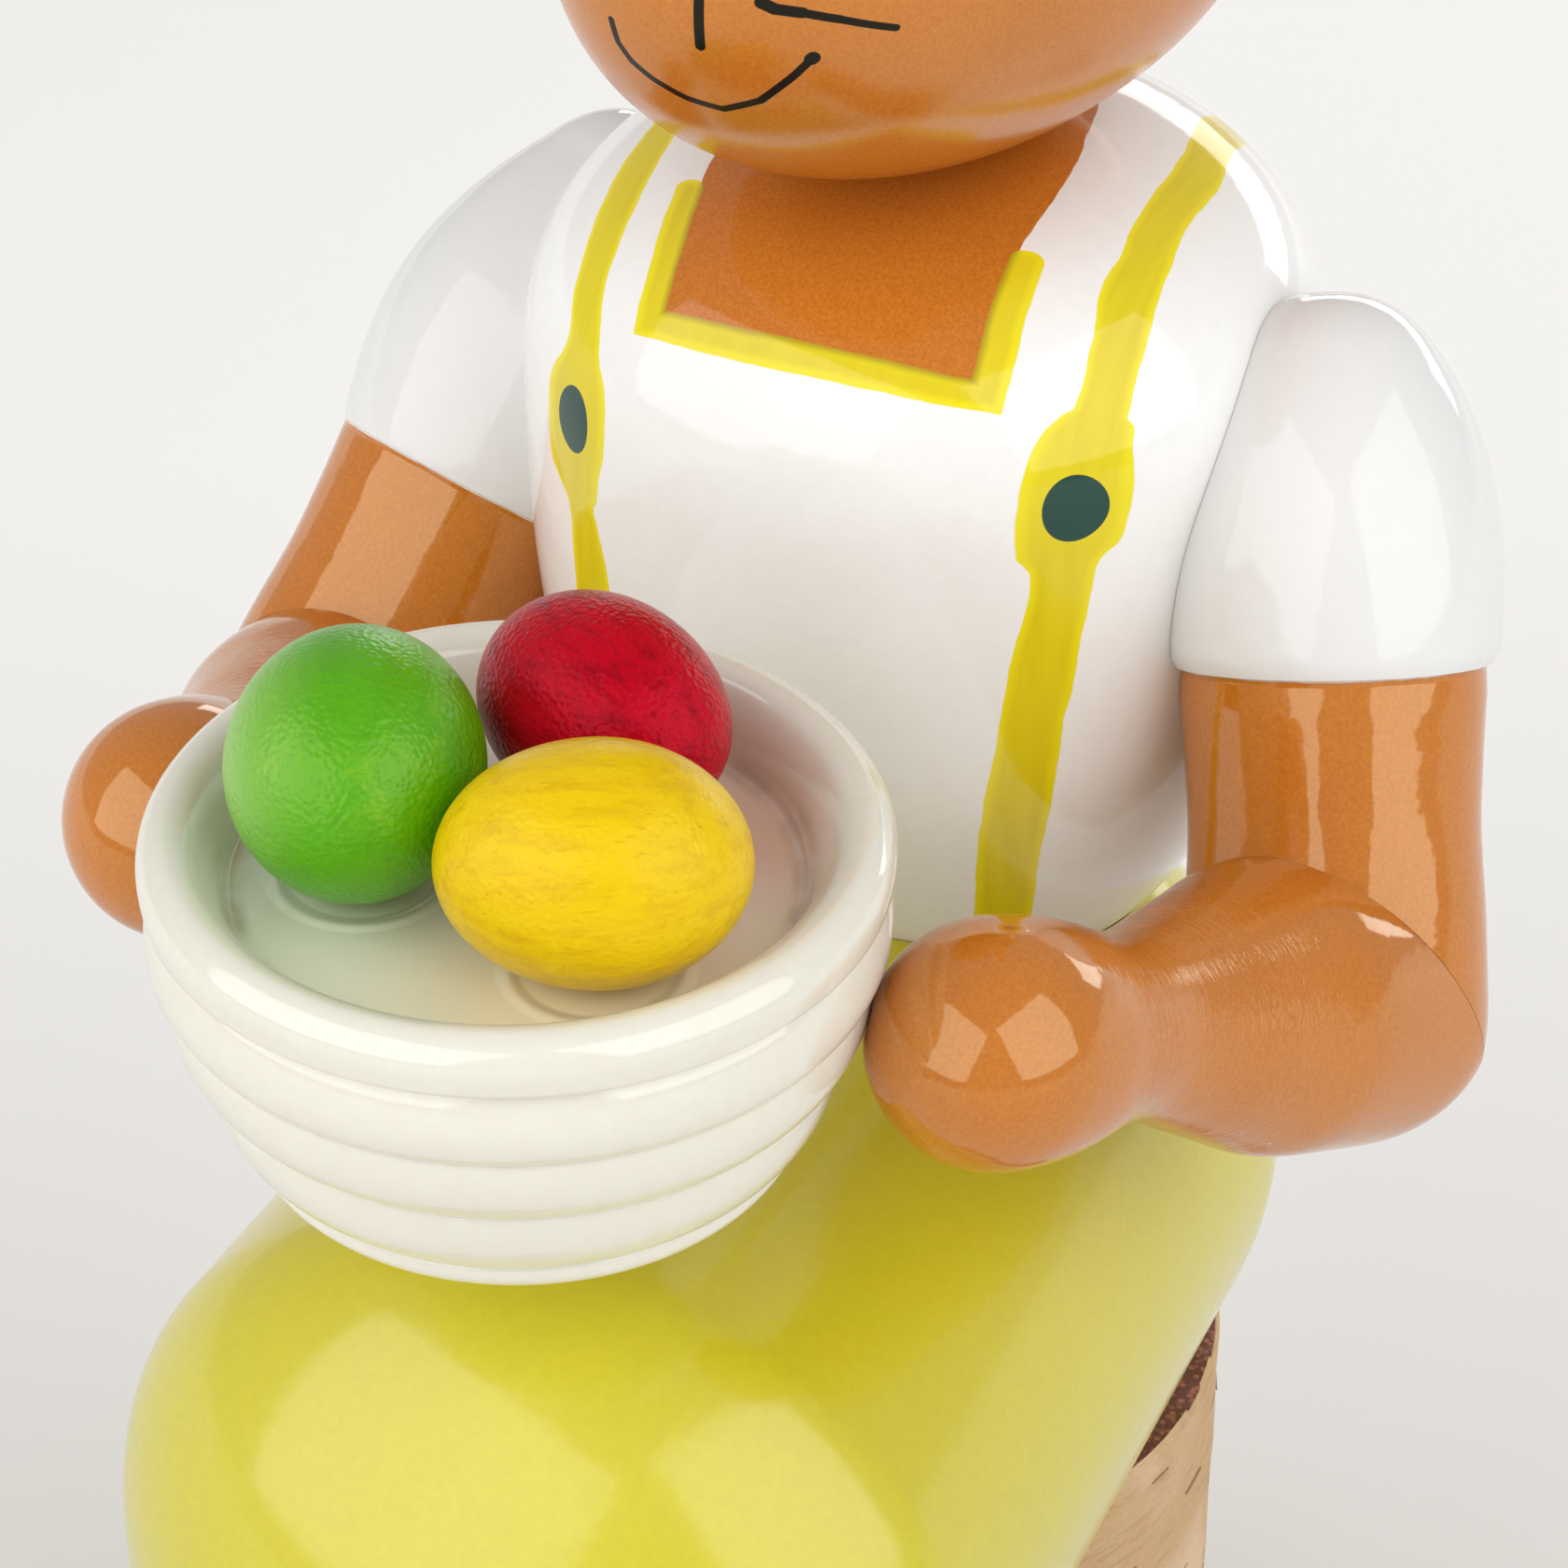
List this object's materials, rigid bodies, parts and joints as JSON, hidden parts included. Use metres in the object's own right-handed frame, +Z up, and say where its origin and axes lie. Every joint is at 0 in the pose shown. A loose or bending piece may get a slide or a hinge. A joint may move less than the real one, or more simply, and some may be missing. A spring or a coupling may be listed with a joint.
{
  "type": "seated rabbit figurine",
  "caption": "Turned and lacquered wooden rabbit in a short-sleeved blouse and long skirt, seated on a birch log, holding a ribbed bowl of dyed eggs.",
  "frame": {"origin": "middle of the underside of the base", "axes": "+Z up, +X to the figure's left, the figure faces -Y"},
  "size_m": [0.1031, 0.142, 0.2691],
  "materials": {
    "lacquered_brown": "gloss lacquer",
    "white_lacquer": "gloss lacquer",
    "lime_lacquer": "gloss lacquer",
    "ivory_lacquer": "gloss lacquer",
    "green_dye": "satin dye",
    "red_dye": "satin dye",
    "yellow_dye": "satin dye",
    "birch": "raw bark and sawn end",
    "plain_wood": "clear satin"
  },
  "bodies": {
    "root": {"head": "lacquered_brown", "ear_left": "lacquered_brown", "ear_right": "lacquered_brown", "upper_arm_left": "lacquered_brown", "upper_arm_right": "lacquered_brown", "forearm_left": "lacquered_brown", "forearm_right": "lacquered_brown", "foot_left": "lacquered_brown", "foot_right": "lacquered_brown", "torso": "white_lacquer", "skirt": "lime_lacquer", "bowl": "ivory_lacquer", "egg_green": "green_dye", "egg_red": "red_dye", "egg_yellow": "yellow_dye", "birch_log": "birch", "base": "plain_wood"}
  },
  "joints": []
}
